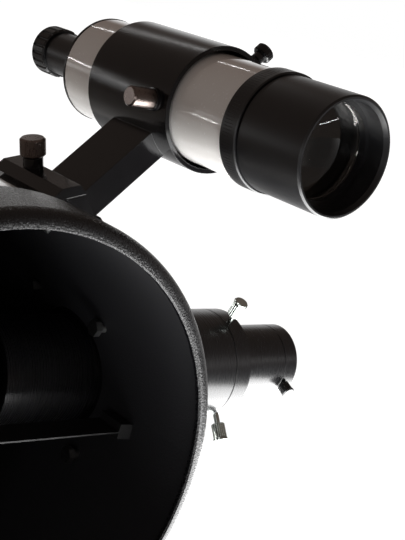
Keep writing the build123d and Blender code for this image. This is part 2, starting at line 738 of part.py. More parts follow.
with BuildPart() as eyepiece_adapter:
    add(adapter_blank)
    with BuildSketch(around_focuser(adapter_screw_height, adapter_screw_turn, adapter_bore - 1)):
        Circle(holder_screw_radius + running_clearance)
    extrude(amount=adapter_radius - adapter_bore + 2, mode=Mode.SUBTRACT)
save(eyepiece_adapter.part, "eyepiece_adapter")
save(clamp_band(adapter_band_start, adapter_band_end, adapter_bore, 300), "adapter_clamp_band")
save(thumbscrew(around_focuser(adapter_screw_height, adapter_screw_turn, adapter_radius),
                adapter_radius - adapter_bore - band_wall - 0.1, holder_screw_radius, adapter_neck,
                adapter_head_radius, adapter_head, 16),
     "adapter_screw")

# ---- finder shoe: a dovetail channel on a saddle ----
shoe_half = 20.0
shoe_underside = tube_radius - 15.0  # inside the tube, so that the saddle's cut reaches both sides
shoe_floor = tube_radius + 6.0
jaw_shoulder = tube_radius + 13.5
jaw_top = jaw_shoulder + 9.0
flank = radians(60)
foot_bottom = shoe_floor + 6.0
foot_top = foot_bottom + 9.0
foot_half = 14.0
foot_narrow = foot_half - (foot_top - foot_bottom) / tan(flank)
channel_gap = sliding_clearance
jaw_inner = foot_half + channel_gap - (jaw_top - foot_bottom) / tan(flank)
jaw_outer = shoe_half - (jaw_top - jaw_shoulder) / tan(flank)
knob_turn = 104.0                # the lock knob stands square to the dovetail's flank
knob_radius = 6.9
knob_height = 10.0
knob_boss = 4.6                  # a boss on the shoe lifts the knob clear of the jaw's corner
knob_boss_radius = 5.4
knob_screw_radius = 2.0
knob_screw_length = 5.6
knob_station = 140.5
knob_reach = jaw_shoulder + 5.7  # tube axis to the middle of the flank, along the finder's turn
knob_side = shoe_half - (knob_reach - jaw_shoulder) / tan(flank)
lock_knob_gap = 0.4
shoe_section = across(shoe_front + shoe_length, finder_turn - 90)
knob_foot = (Vector(0, mouth_y + knob_station, axis_z) + radial(finder_turn) * knob_reach
             + radial(finder_turn + 90) * knob_side + radial(knob_turn) * lock_knob_gap)
knob_frame = Plane(origin=knob_foot, x_dir=(0, 1, 0), z_dir=radial(knob_turn))

with BuildPart() as finder_shoe:
    with BuildSketch(shoe_section):
        with BuildLine():
            Polyline((-13, shoe_underside), (-13, shoe_floor), (-shoe_half, shoe_floor),
                     (-shoe_half, jaw_shoulder), (-jaw_outer, jaw_top), (-jaw_inner, jaw_top),
                     (-foot_half - channel_gap, foot_bottom),
                     (foot_half + channel_gap, foot_bottom), (jaw_inner, jaw_top), (jaw_outer, jaw_top),
                     (shoe_half, jaw_shoulder), (shoe_half, shoe_floor), (13, shoe_floor),
                     (13, shoe_underside), close=True)
        make_face()
    extrude(amount=shoe_length)
    with BuildSketch(across(0)):
        Circle(tube_radius)
    extrude(amount=-300, mode=Mode.SUBTRACT)
    with BuildSketch(outward(shoe_middle, finder_turn, tube_radius - 5)):
        with GridLocations(shoe_screw_spacing, 1, 2, 1):
            Circle(shoe_screw_radius + screw_clearance)
    extrude(amount=20, mode=Mode.SUBTRACT)
    with BuildSketch(outward(shoe_middle, finder_turn, foot_bottom - 3)):
        with GridLocations(shoe_screw_spacing, 1, 2, 1):
            Circle(4.2)
    extrude(amount=20, mode=Mode.SUBTRACT)
    with BuildSketch(knob_frame.offset(-2)):
        Circle(knob_boss_radius)
    extrude(amount=2 + knob_boss)
    with BuildSketch(knob_frame.offset(knob_boss + 1)):
        Circle(knob_screw_radius + running_clearance)
    extrude(amount=-16 - knob_boss, mode=Mode.SUBTRACT)
save(finder_shoe.part, "finder_shoe")

save(group([pan_screw(outward(shoe_middle + step * shoe_screw_spacing / 2, finder_turn, foot_bottom - 3),
                      shoe_screw_radius, foot_bottom - 3 - tube_bore + 2, 3.9, 2.2) for step in (-1, 1)]),
     "shoe_screws")
lock_knob_start = knob_boss + lock_knob_gap
lock_knob_top = lock_knob_start + knob_height
lock_knob_outline = [
    (-knob_screw_length, 0), (-knob_screw_length, knob_screw_radius), (lock_knob_start, knob_screw_radius),
    (lock_knob_start, knob_radius - 1), (lock_knob_start + 1, knob_radius), (lock_knob_top - 1, knob_radius),
    (lock_knob_top, knob_radius - 1), (lock_knob_top, 0)]
save(knurled(knob_frame, lock_knob_outline, lock_knob_start, lock_knob_top, knob_radius, 40, 0.3),
     "shoe_lock_knob")

# ---- finder bracket: dovetail foot, box leg and a long hoop ----
hoop_bore = hoop_radius - hoop_wall
aim_turns = {"aiming_screw_right": 45, "aiming_screw_left": -45}
plunger_turn = 180
boss_radius = 6.0
boss_top = hoop_radius + 2.2
aim_screw_radius = 2.0
plunger_stub_radius = 4.0


def aiming(turn, radius):
    """Plane that faces away from the finder's axis, at the aiming screws' station."""
    return outward(aim_station, turn, radius, finder_reach, finder_turn)


with BuildPart() as finder_bracket:
    with BuildSketch(shoe_section):
        with BuildLine():
            Polyline((-foot_half, foot_bottom), (-foot_narrow, foot_top), (foot_narrow, foot_top),
                     (foot_half, foot_bottom), close=True)
        make_face()
    extrude(amount=shoe_length)
    with BuildSketch(across(leg_front, finder_turn - 90)):
        with Locations((0, (foot_top - 2 + finder_reach) / 2)):
            Rectangle(leg_width, finder_reach - foot_top + 2)
    extrude(amount=-leg_depth)
    with BuildSketch(finder(hoop_front)):
        Circle(hoop_radius)
    extrude(amount=hoop_rear - hoop_front)
    for turn in [*aim_turns.values(), plunger_turn]:
        with BuildSketch(aiming(turn, hoop_bore + 0.5)):
            Circle(boss_radius)
        extrude(amount=boss_top - hoop_bore - 0.5)
    with BuildSketch(finder(hoop_front - 1)):
        Circle(hoop_bore)
    extrude(amount=hoop_rear - hoop_front + 2, mode=Mode.SUBTRACT)
    for turn in aim_turns.values():
        with BuildSketch(aiming(turn, hoop_bore - 2)):
            Circle(aim_screw_radius + running_clearance)
        extrude(amount=12, mode=Mode.SUBTRACT)
    with BuildSketch(aiming(plunger_turn, hoop_bore - 2)):
        Circle(plunger_stub_radius + 0.05)
    extrude(amount=12, mode=Mode.SUBTRACT)
save(finder_bracket.part, "finder_bracket")

# ---- two aiming screws with their lock nuts, and the sprung plunger opposite them ----
aim_gap = 1.4                    # the screws stop short of the tube, so that it can tilt
aim_tip = finder_radius + aim_gap
nut_thickness = 3.0
nut_radius = 4.0
lock_nuts = []
for name, turn in aim_turns.items():
    start = boss_top + nut_thickness + 4.4
    save(knurled(aiming(turn, start), [
        (aim_tip - start, 0), (aim_tip - start, aim_screw_radius), (-3.6, aim_screw_radius), (-3.6, 3.4),
        (0, 3.4), (0, 4.7), (0.7, 5.4), (4.4, 5.4), (5.1, 4.7), (5.1, 0)], 0, 5.1, 5.4, 22, 0.4), name)
    lock_nuts.append(knurled(aiming(turn, boss_top), [
        (0, aim_screw_radius + running_clearance), (0, nut_radius - 0.4), (0.4, nut_radius),
        (nut_thickness - 0.4, nut_radius), (nut_thickness, nut_radius - 0.4),
        (nut_thickness, aim_screw_radius + running_clearance)], 0, nut_thickness, nut_radius, 18, 0.3))
save(group(lock_nuts), "aiming_lock_nuts")

plunger_bore = 3.0
barrel_radius = 5.3
barrel_top = boss_top + 14.1
pin_top = boss_top + 1.5
spring_start = pin_top + 0.6
pin_radius = plunger_bore - running_clearance
save(lathe(aiming(plunger_turn, 0), [
    (hoop_bore + 0.4, plunger_bore), (hoop_bore + 0.4, plunger_stub_radius), (boss_top, plunger_stub_radius),
    (boss_top, barrel_radius), (barrel_top - 0.9, barrel_radius), (barrel_top, barrel_radius - 0.9),
    (barrel_top, 0), (barrel_top - 3, 0), (barrel_top - 3, plunger_bore)]), "plunger_housing")
save(lathe(aiming(plunger_turn, 0), [(aim_tip, 0), (aim_tip, 1.6), (aim_tip + 1.2, pin_radius),
                                     (pin_top, pin_radius), (pin_top, 0)]), "plunger_pin")
save(coil_spring(aiming(plunger_turn, spring_start), 2.1, 0.35, barrel_top - 3.6 - spring_start, 6),
     "plunger_spring")

# ---- rubber ring that the finder's tube tilts in ----
seal_station = hoop_rear - 3.5
seal_radius = 0.8
with BuildPart() as finder_seal:
    seal_centre = finder(seal_station).origin
    with BuildSketch(Plane(origin=seal_centre, x_dir=radial(finder_turn), z_dir=radial(finder_turn + 90))):
        with Locations(((finder_radius + hoop_bore) / 2, 0)):
            Circle(seal_radius)
    revolve(axis=Axis(seal_centre, (0, 1, 0)))
save(finder_seal.part, "finder_o_ring")

# ---- finder: white tube, objective cell with dew shield, lock ring, doublet ----
sleeve_radius = finder_radius - finder_wall - 0.2
sleeve_end = finder_front + 12
lip_front = 5.0                  # a lip in front of the lens, the lens close behind it
lip_radius = objective_radius - 0.4
lens_front = 9.0
lens_back = 17.0
lens_seat = objective_radius + 0.9
finder_tube_bore = finder_radius - finder_wall
save(lathe(finder(0), tube_outline(finder_front, finder_rear, finder_radius, finder_tube_bore, 0.3)),
     "finder_tube")
save(lathe(finder(0), [
    (dew_front, dew_bore + 1.2), (dew_front, dew_radius - 0.9), (dew_front + 0.9, dew_radius),
    (dew_rear - 0.5, dew_radius), (dew_rear, dew_radius - 0.5), (dew_rear, sleeve_radius),
    (sleeve_end, sleeve_radius), (sleeve_end, lens_seat), (lens_front, lens_seat), (lens_front, lip_radius),
    (lip_front, lip_radius), (lip_front, dew_bore - 0.3), (dew_front + 2.4, dew_bore)]),
     "dew_shield")
with BuildPart() as objective_lens:
    with BuildSketch(Plane(origin=finder(0).origin, x_dir=(0, 1, 0), z_dir=radial(finder_turn - 90))):
        with BuildLine():
            front = ThreePointArc((lens_front - 2.2, 0), (lens_front - 1.6, objective_radius / 2),
                                  (lens_front + 0.2, objective_radius - 1.1))
            Polyline(front @ 1, (lens_front + 0.2, lens_seat - 0.1), (lens_back, lens_seat - 0.1),
                     (lens_back, 0), front @ 0)
        make_face()
    revolve(axis=Axis(finder(0).origin, (0, 1, 0)))
save(objective_lens.part, "objective_lens")
lock_ring_outline = tube_outline(dew_rear + 0.3, finder_front - 0.2, lock_ring_radius, sleeve_radius + 0.2, 0.6)
save(knurled(finder(0), lock_ring_outline, dew_rear + 3, finder_front - 3, lock_ring_radius, 120, 0.16),
     "focus_lock_ring")

# ---- finder eyepiece: end cap with barrel, reticle, eye lens and grip ring ----
barrel_outer = 12.8
barrel_inner = 11.4
barrel_end = eyepiece_rear - 2
grip_start = eyepiece_rear - 13
save(lathe(finder(0), [
    (finder_rear - 8, finder_radius - finder_wall - 1.6), (finder_rear - 8, finder_radius - finder_wall),
    (finder_rear, finder_radius - finder_wall), (finder_rear, finder_radius + 0.3),
    (finder_rear + 1.4, finder_radius + 0.3), (finder_rear + 7, 18), (finder_rear + 12, 15),
    (finder_rear + 24, 14.4), (finder_rear + 24, barrel_outer), (barrel_end, barrel_outer),
    (barrel_end, barrel_inner), (finder_rear + 6, barrel_inner), (finder_rear + 3, 17),
    (finder_rear, finder_radius - finder_wall - 1.6)]), "finder_eyepiece")
save(knurled(finder(0), [
    (grip_start, barrel_outer), (grip_start, 14.0), (grip_start + 1, 14.9), (eyepiece_rear - 1, 14.9),
    (eyepiece_rear, 14.0), (eyepiece_rear, 9.0), (barrel_end, 9.0), (barrel_end, barrel_outer)],
    grip_start, eyepiece_rear - 1, 14.9, 20, 0.9), "eyepiece_ring")
save(lathe(finder(0), [(barrel_end - 5, 0), (barrel_end - 6, 8), (barrel_end - 6, barrel_inner),
                       (barrel_end - 0.2, barrel_inner), (barrel_end - 0.2, 8), (barrel_end - 0.8, 0)]),
     "eye_lens")
reticle_station = finder_rear + 30
with BuildPart() as finder_reticle:
    with BuildSketch(finder(reticle_station)):
        Circle(barrel_inner)
        Circle(barrel_inner - 1.6, mode=Mode.SUBTRACT)
        Rectangle(2 * barrel_inner - 1.6, 0.2)
        Rectangle(0.2, 2 * barrel_inner - 1.6)
    extrude(amount=1.2)
save(finder_reticle.part, "finder_reticle")

# ---- tube rings: a fixed lower half, a hinged upper half, a pin and a clamp bolt each ----
strap_stations = [plate_station - ring_spacing / 2, plate_station + ring_spacing / 2]
pin_radius_strap = 3.0
pin_place = strap_radius + 8
knuckle_radius = 7.0
knuckle_width = 9.0
knuckle_gap = 0.4
lug_reach = 28.0
lug_height = 14.0
split_gap = 0.5
clamp_bolt_radius = 4.0
clamp_bolt_place = strap_radius + 15
bolt_slack = 0.6
foot_width = 64.0
plate_screw_side = 20.0
plate_screw_radius = 3.0
plate_screw_depth = 10.0


def half_strap(station, upper):
    """Half of a tube ring: the lower one has a foot, the upper one swings on the pin."""
    sign = 1 if upper else -1
    front = station - strap_width / 2
    with BuildPart() as strap:
        with BuildSketch(across(front)):
            Circle(strap_radius)
            with Locations((strap_radius + lug_reach / 2 - 2, sign * lug_height / 2)):
                Rectangle(lug_reach + 4, lug_height)
            if not upper:
                with Locations((0, -(strap_radius + foot_height) / 2)):
                    Rectangle(foot_width, strap_radius + foot_height)
            Circle(strap_bore, mode=Mode.SUBTRACT)
            with Locations((0, -sign * 250)):
                Rectangle(500, 500 + 2 * split_gap, mode=Mode.SUBTRACT)
        extrude(amount=-strap_width)
        # knuckles: one in the middle below, two at the sides above
        side_width = (strap_width - knuckle_width) / 2 - knuckle_gap
        if upper:
            spans = [(front, side_width), (front + strap_width - side_width, side_width)]
        else:
            spans = [(station - knuckle_width / 2, knuckle_width)]
        for start, width in spans:
            with BuildSketch(across(start)):
                with Locations((-pin_place, 0)):
                    Circle(knuckle_radius)
                with Locations((-(pin_place + strap_radius - 3) / 2, sign * (split_gap + 3.5))):
                    Rectangle(pin_place - strap_radius + 3, 7)
                with Locations((-pin_place, 0)):
                    Circle(pin_radius_strap + running_clearance, mode=Mode.SUBTRACT)
            extrude(amount=-width)
        with BuildSketch(Plane(origin=(clamp_bolt_place, mouth_y + station, axis_z), x_dir=(1, 0, 0),
                               z_dir=(0, 0, sign))):
            Circle(clamp_bolt_radius + (running_clearance if upper else bolt_slack))
        extrude(amount=lug_height + 1, mode=Mode.SUBTRACT)
        if not upper:
            with BuildSketch(Plane.XY.offset(plate_thickness)):
                with Locations((-plate_screw_side, mouth_y + station), (plate_screw_side, mouth_y + station)):
                    Circle(plate_screw_radius + screw_clearance)
            extrude(amount=plate_screw_depth, mode=Mode.SUBTRACT)
    return strap.part


save(group([half_strap(station, False) for station in strap_stations]), "tube_ring_bases")
for name, station in zip(("front", "rear"), strap_stations):
    save(half_strap(station, True), f"tube_ring_clamp_{name}")
    top = Plane(origin=(clamp_bolt_place, mouth_y + station, axis_z + lug_height + 0.3), x_dir=(1, 0, 0),
                z_dir=(0, 0, 1))
    reach = 2 * lug_height - 1.0
    save(knurled(top, [(-reach, 0), (-reach, clamp_bolt_radius - 1), (1 - reach, clamp_bolt_radius),
                       (0, clamp_bolt_radius), (0, 9), (4, 9), (4, 13), (5, 14), (14, 14), (16, 12), (16, 0)],
                 4, 16, 14, 16, 2.0), f"ring_knob_{name}")
save(group([lathe(rearward(station - strap_width / 2, -pin_place, 0), [
    (-1, 0), (-1, pin_radius_strap), (strap_width + 1, pin_radius_strap), (strap_width + 1, 0)])
    for station in strap_stations]), "ring_hinge_pins")

# ---- dovetail plate and the screws that hold it to the rings ----
flank_inset = plate_thickness * tan(radians(15))
screw_head_radius = 5.0
screw_head_depth = 6.5
screw_places = [(side, mouth_y + station) for station in strap_stations
                for side in (-plate_screw_side, plate_screw_side)]
with BuildPart() as dovetail_plate:
    with BuildSketch(Plane(origin=(0, -plate_length / 2, 0), x_dir=(1, 0, 0), z_dir=(0, -1, 0))):
        with BuildLine():
            Polyline((-plate_width / 2, 0), (-plate_width / 2 + flank_inset, plate_thickness),
                     (plate_width / 2 - flank_inset, plate_thickness), (plate_width / 2, 0), close=True)
        make_face()
    extrude(amount=-plate_length)
    with BuildSketch(Plane.XY):
        with Locations(*screw_places):
            Circle(plate_screw_radius + screw_clearance)
    extrude(amount=plate_thickness, mode=Mode.SUBTRACT)
    with BuildSketch(Plane.XY):
        with Locations(*screw_places):
            Circle(screw_head_radius + 0.3)
    extrude(amount=screw_head_depth, mode=Mode.SUBTRACT)
save(dovetail_plate.part, "dovetail_plate")

plate_screws = []
for x, y in screw_places:
    with BuildPart() as plate_screw:
        with BuildSketch(Plane.XY.offset(screw_head_depth - 6)):
            with Locations((x, y)):
                Circle(screw_head_radius)
                RegularPolygon(2.8, 6, mode=Mode.SUBTRACT)
        extrude(amount=6)
        with BuildSketch(Plane.XY.offset(screw_head_depth - 2)):
            with Locations((x, y)):
                Circle(plate_screw_radius)
        extrude(amount=plate_thickness - screw_head_depth + 2 + plate_screw_depth - 1)
    plate_screws.append(plate_screw.part)
save(group(plate_screws), "plate_screws")
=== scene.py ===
# %% [markdown]
# # A newtonian reflector telescope, dressed for a studio picture
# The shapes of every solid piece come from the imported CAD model, which is the fixed frame here.
# This lesson gives each of them its real finish and sets the studio. Each finish starts from what
# the real material is and how it was worked.

# %% Load the frame
import math

import bpy
from mathutils import Matrix, Vector


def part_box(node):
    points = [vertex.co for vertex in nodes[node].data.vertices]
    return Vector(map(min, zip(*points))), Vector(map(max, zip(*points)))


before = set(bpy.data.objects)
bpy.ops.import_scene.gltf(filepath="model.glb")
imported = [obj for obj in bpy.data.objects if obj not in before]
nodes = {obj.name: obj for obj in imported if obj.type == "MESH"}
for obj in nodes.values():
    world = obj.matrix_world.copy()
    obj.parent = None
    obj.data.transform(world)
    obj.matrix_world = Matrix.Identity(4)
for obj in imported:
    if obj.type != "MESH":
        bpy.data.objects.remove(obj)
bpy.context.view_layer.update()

# %% [markdown]
# ## Where things are
# The optical tube lies along Y with its mouth toward -Y. Its axis height and radius and the
# finder's axis are read from the frame, so a finish that depends on them follows the CAD.

# %% Find the tube's axis and the finder's axis
tube_low, tube_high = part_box("main_tube")
tube_axis_z = (tube_low.z + tube_high.z) / 2
tube_radius = (tube_high.x - tube_low.x) / 2
finder_low, finder_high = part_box("finder_tube")
finder_x = (finder_low.x + finder_high.x) / 2
finder_z = (finder_low.z + finder_high.z) / 2
print(f"tube axis {tube_axis_z:.4f} m up, radius {tube_radius:.4f} m")
print(f"finder axis {finder_x:.4f} m to the right, {finder_z:.4f} m up")

# %% [markdown]
# ## The camera
# A portrait lens close to the mouth of the tube, a little above it and turned with the tube's
# own tilt. Three directions make its rotation: where it looks, what is up, and their cross product.

# %% Camera
camera_data = bpy.data.cameras.new("studio_camera")
camera_data.sensor_width = 36
camera_data.lens = 81.35
camera_data.clip_start = 0.01
camera_data.clip_end = 50
camera = bpy.data.objects.new("studio_camera", camera_data)
bpy.context.scene.collection.objects.link(camera)
bpy.context.scene.camera = camera

camera_place = Vector((-0.26805, -0.93472, 0.37067))
looks_along = Vector((0.65300, 0.71951, -0.23642)).normalized()
leans_up = Vector((-0.01439, 0.32389, 0.94598))
to_the_right = looks_along.cross(leans_up).normalized()
camera_up = to_the_right.cross(looks_along)
camera.matrix_world = (
    Matrix.Translation(camera_place)
    @ Matrix((to_the_right, camera_up, -looks_along)).transposed().to_4x4()
)
print("camera stands", [round(value, 3) for value in camera_place])

# %% [markdown]
# ## Three small helpers and what the finishes share
# Colours are written as sRGB hex, as a paint chart gives them, and one function turns them to the
# linear values that the shaders need. One function adds a node with its settings and links, and one
# turns a size in millimetres to a texture's scale. The values that several finishes share, the
# refractive indices and the white of the enamel, are named here too.

# %% Helpers
def linear(hex_code, alpha=1.0):
    """An sRGB hex colour as linear red, green, blue and alpha."""
    values = [int(hex_code[place:place + 2], 16) / 255 for place in (0, 2, 4)]
    curve = [v / 12.92 if v <= 0.04045 else ((v + 0.055) / 1.055) ** 2.4 for v in values]
    return (*curve, alpha)


def add_node(tree, kind, inputs=None, **settings):
    """Adds one node: settings are its properties, inputs are values or other nodes' outputs."""
    node = tree.nodes.new("ShaderNode" + kind)
    for name, value in settings.items():
        setattr(node, name, value)
    for name, value in (inputs or {}).items():
        if isinstance(value, bpy.types.NodeSocket):
            tree.links.new(value, node.inputs[name])
        else:
            node.inputs[name].default_value = value
    return node


def feature(millimetres):
    """The scale of a texture whose features are about this size."""
    return 1000 / millimetres


paint_index = 1.5
oxide_index = 1.55
crown_glass_index = 1.52
enamel_white = "EFEDEA"

# %% [markdown]
# ## A blank finish
# Each finish is one Principled shader whose colour, roughness and bump come from textures in the
# object's own coordinates, so the pattern stays on the piece when the piece moves.

# %% Start a finish
def start_finish(name):
    """A new material with an output and object coordinates; returns material, tree, coordinates."""
    material = bpy.data.materials.new(name)
    material.use_nodes = True
    tree = material.node_tree
    tree.nodes.clear()
    coordinates = add_node(tree, "TexCoord").outputs["Object"]
    return material, tree, coordinates


def finish_with(tree, shader):
    """Joins a shader to the material's output."""
    add_node(tree, "OutputMaterial", {"Surface": shader.outputs[0]})


def between(tree, value, low, high):
    """Turns a texture's 0 to 1 into low to high."""
    mapped = add_node(tree, "MapRange", {"Value": value, "To Min": low, "To Max": high})
    return mapped.outputs["Result"]


def tint(tree, value, first, second):
    """Mixes two hex colours by a texture."""
    mix = add_node(tree, "Mix", data_type="RGBA")
    mix.inputs[6].default_value = linear(first)
    mix.inputs[7].default_value = linear(second)
    tree.links.new(value, mix.inputs[0])
    return mix.outputs[2]


def wear_finish(finish, piece_names):
    """Puts a finish in the material slots of the named pieces."""
    for name in piece_names.split():
        for slot in nodes[name].material_slots:
            slot.material = finish
        dressed.add(name)
    print(finish.name, "on", piece_names)


dressed = set()

# %% [markdown]
# ## Gloss white enamel
# The finder's tube is aluminium, sprayed with gloss enamel. It is white with the soft ripple that
# sprayed paint dries to, and it carries a few specks of dust. The ripple is 3 mm wide, shallow,
# and only bends the reflections.

# %% Enamel on the finder's tube
enamel, tree, place = start_finish("sprayed_gloss_white_enamel")
ripple = add_node(tree, "TexNoise", {"Vector": place, "Scale": feature(3), "Detail": 2})
specks = add_node(tree, "TexNoise", {"Vector": place, "Scale": feature(1.2), "Detail": 0})
dust = add_node(tree, "MapRange", {
    "Value": specks.outputs["Fac"],
    "From Min": 0.76,
    "From Max": 0.82,
})
colour = tint(tree, dust.outputs["Result"], enamel_white, "FFFFFF")
gloss = between(tree, ripple.outputs["Fac"], 0.06, 0.11)
bump = add_node(tree, "Bump", {"Height": ripple.outputs["Fac"], "Strength": 0.12, "Distance": 0.0001})
shader = add_node(tree, "BsdfPrincipled", {
    "Base Color": colour,
    "Roughness": gloss,
    "IOR": paint_index,
    "Coat Weight": 0.6,
    "Coat Roughness": 0.03,
    "Normal": bump.outputs["Normal"],
})
finish_with(tree, shader)
wear_finish(enamel, "finder_tube")

# %% [markdown]
# ## The main tube: enamel outside, flat black inside
# The main tube is rolled steel, with the same white enamel outside. Inside it is sprayed flat
# black against stray light, a dry grainy coat. Both are one solid, so the distance from the tube's
# axis chooses between them: anything nearer than the outer skin is the inside.

# %% Enamel and flat black on the main tube
skin_depth = 0.0004
two_coats, tree, place = start_finish("white_enamel_and_flat_black_lining")
parts = add_node(tree, "SeparateXYZ", {"Vector": place})
above_axis = add_node(tree, "Math", {0: parts.outputs["Z"], 1: tube_axis_z}, operation="SUBTRACT")
across = add_node(tree, "CombineXYZ", {"X": parts.outputs["X"], "Z": above_axis.outputs[0]})
reach = add_node(tree, "VectorMath", {0: across.outputs[0]}, operation="LENGTH")
skin = add_node(tree, "Math", {
    0: reach.outputs["Value"],
    1: tube_radius - skin_depth,
}, operation="GREATER_THAN")
ripple = add_node(tree, "TexNoise", {"Vector": place, "Scale": feature(3), "Detail": 2})
grain = add_node(tree, "TexNoise", {"Vector": place, "Scale": feature(0.9), "Detail": 4})
lining = tint(tree, grain.outputs["Fac"], "101013", "232327")
coats = add_node(tree, "Mix", data_type="RGBA")
coats.inputs[7].default_value = linear(enamel_white)
tree.links.new(skin.outputs[0], coats.inputs[0])
tree.links.new(lining, coats.inputs[6])
inner_rough = between(tree, grain.outputs["Fac"], 0.55, 0.75)
rough = add_node(tree, "Mix", {0: skin.outputs[0], 2: inner_rough, 3: 0.14}, data_type="FLOAT")
bump_height = add_node(tree, "Mix", {
    0: skin.outputs[0],
    2: grain.outputs["Fac"],
    3: 0.5,
}, data_type="FLOAT")
bump = add_node(tree, "Bump", {"Height": bump_height.outputs[0], "Strength": 0.5, "Distance": 0.0004})
shader = add_node(tree, "BsdfPrincipled", {
    "Base Color": coats.outputs[2],
    "Roughness": rough.outputs[0],
    "IOR": paint_index,
    "Normal": bump.outputs["Normal"],
})
finish_with(tree, shader)
wear_finish(two_coats, "main_tube")

# %% [markdown]
# ## Wrinkle powder coat
# The cast end rings are powder coated black. The powder flows and draws into fine wrinkles about
# half a millimetre wide as it bakes; they are drawn at 1 mm so that they show. The coat is nearly
# black and half glossy, so light breaks up along it into grains.

# %% Powder coat on the castings
wrinkle, tree, place = start_finish("wrinkle_powder_coat_on_castings")
folds = add_node(tree, "TexNoise", {
    "Vector": place,
    "Scale": feature(1.0),
    "Detail": 5,
    "Roughness": 0.6,
})
colour = tint(tree, folds.outputs["Fac"], "060608", "161618")
rough = between(tree, folds.outputs["Fac"], 0.20, 0.36)
bump = add_node(tree, "Bump", {"Height": folds.outputs["Fac"], "Strength": 0.7, "Distance": 0.0005})
shader = add_node(tree, "BsdfPrincipled", {
    "Base Color": colour,
    "Roughness": rough,
    "IOR": paint_index,
    "Normal": bump.outputs["Normal"],
})
finish_with(tree, shader)
wear_finish(
    wrinkle,
    "front_end_ring rear_end_ring tube_ring_bases tube_ring_clamp_front tube_ring_clamp_rear "
    "cell_backplate mirror_cell",
)

# %% [markdown]
# ## Satin black paint on the finder's bracket
# The bracket and its shoe are die castings with a smooth black paint between satin and gloss. Flat
# faces mirror the studio softly and the rounded edges catch a thin line of light.

# %% Satin paint on the bracket and the shoe
bracket_paint, tree, place = start_finish("satin_black_paint_on_die_casting")
clouds = add_node(tree, "TexNoise", {"Vector": place, "Scale": feature(9), "Detail": 4})
orange_peel = add_node(tree, "TexNoise", {"Vector": place, "Scale": feature(1.5), "Detail": 2})
colour = tint(tree, clouds.outputs["Fac"], "070709", "111012")
rough = between(tree, clouds.outputs["Fac"], 0.13, 0.21)
rounding = add_node(tree, "Bevel", {"Radius": 0.0005}, samples=6)
bump = add_node(tree, "Bump", {
    "Height": orange_peel.outputs["Fac"],
    "Strength": 0.15,
    "Distance": 0.0002,
    "Normal": rounding.outputs["Normal"],
})
shader = add_node(tree, "BsdfPrincipled", {
    "Base Color": colour,
    "Roughness": rough,
    "IOR": paint_index,
    "Normal": bump.outputs["Normal"],
})
finish_with(tree, shader)
wear_finish(bracket_paint, "finder_bracket finder_shoe focuser_body pinion_cover")

# %% [markdown]
# ## Black anodised aluminium, turned on a lathe
# The focuser's tubes, the dew shield and the small knobs are turned aluminium, anodised black. The
# tool leaves rings a tenth of a millimetre apart round the turning axis; they are drawn at 0.6 mm
# so that they show. The dyed oxide is a clear hard skin over metal, so it is a dark dielectric
# with satin gloss.

# %% Anodised finish along either axis
def anodised(name, axis, darkest, lightest, low_rough, high_rough):
    """Satin black anodising with faint lathe rings about the given axis."""
    finish, tree, place = start_finish(name)
    along = add_node(tree, "SeparateXYZ", {"Vector": place}).outputs[axis]
    rings = add_node(tree, "TexNoise", {
        "W": along,
        "Scale": feature(0.6),
        "Detail": 1,
    }, noise_dimensions="1D")
    clouds = add_node(tree, "TexNoise", {"Vector": place, "Scale": feature(12), "Detail": 3})
    colour = tint(tree, clouds.outputs["Fac"], darkest, lightest)
    rough = between(tree, rings.outputs["Fac"], low_rough, high_rough)
    bump = add_node(tree, "Bump", {"Height": rings.outputs["Fac"], "Strength": 0.05, "Distance": 0.0001})
    shader = add_node(tree, "BsdfPrincipled", {
        "Base Color": colour,
        "Roughness": rough,
        "IOR": oxide_index,
        "Normal": bump.outputs["Normal"],
    })
    finish_with(tree, shader)
    return finish


focuser_finish = anodised("turned_black_anodised_focuser_tubes", "X", "0C0C0E", "161617", 0.20, 0.34)
wear_finish(focuser_finish, "drawtube eyepiece_holder eyepiece_adapter adapter_screw")
finder_finish = anodised("turned_black_anodised_finder_cells", "Y", "0C0C0E", "161618", 0.28, 0.42)
wear_finish(finder_finish, "dew_shield focus_lock_ring finder_eyepiece dovetail_plate")
knob_finish = anodised("turned_black_anodised_knobs", "Z", "09090B", "131315", 0.18, 0.28)
wear_finish(knob_finish, "aiming_screw_right aiming_screw_left aiming_lock_nuts")

# %% [markdown]
# ## Flat black paint on the spider
# The vanes, the hub and the secondary mirror's holder stand in the light path, so they are painted
# flat black: a rough, dry coat that hardly shines.

# %% Flat black
flat_black, tree, place = start_finish("flat_black_paint")
grain = add_node(tree, "TexNoise", {"Vector": place, "Scale": feature(0.8), "Detail": 3})
colour = tint(tree, grain.outputs["Fac"], "08080A", "141416")
rough = between(tree, grain.outputs["Fac"], 0.5, 0.7)
bump = add_node(tree, "Bump", {"Height": grain.outputs["Fac"], "Strength": 0.4, "Distance": 0.0002})
shader = add_node(tree, "BsdfPrincipled", {
    "Base Color": colour,
    "Roughness": rough,
    "Normal": bump.outputs["Normal"],
})
finish_with(tree, shader)
wear_finish(flat_black, "spider_hub spider_vanes secondary_holder finder_reticle")

# %% [markdown]
# ## Plated metals
# The eyepiece thumbscrews are chromed brass, the shoe's lock knob and the plunger are dark nickel,
# the small screws are zinc plated steel, the springs are drawn steel and the clamp bands rolled
# brass. All are metals: the colour is the reflection's colour, and the roughness says how well the
# metal was polished first.

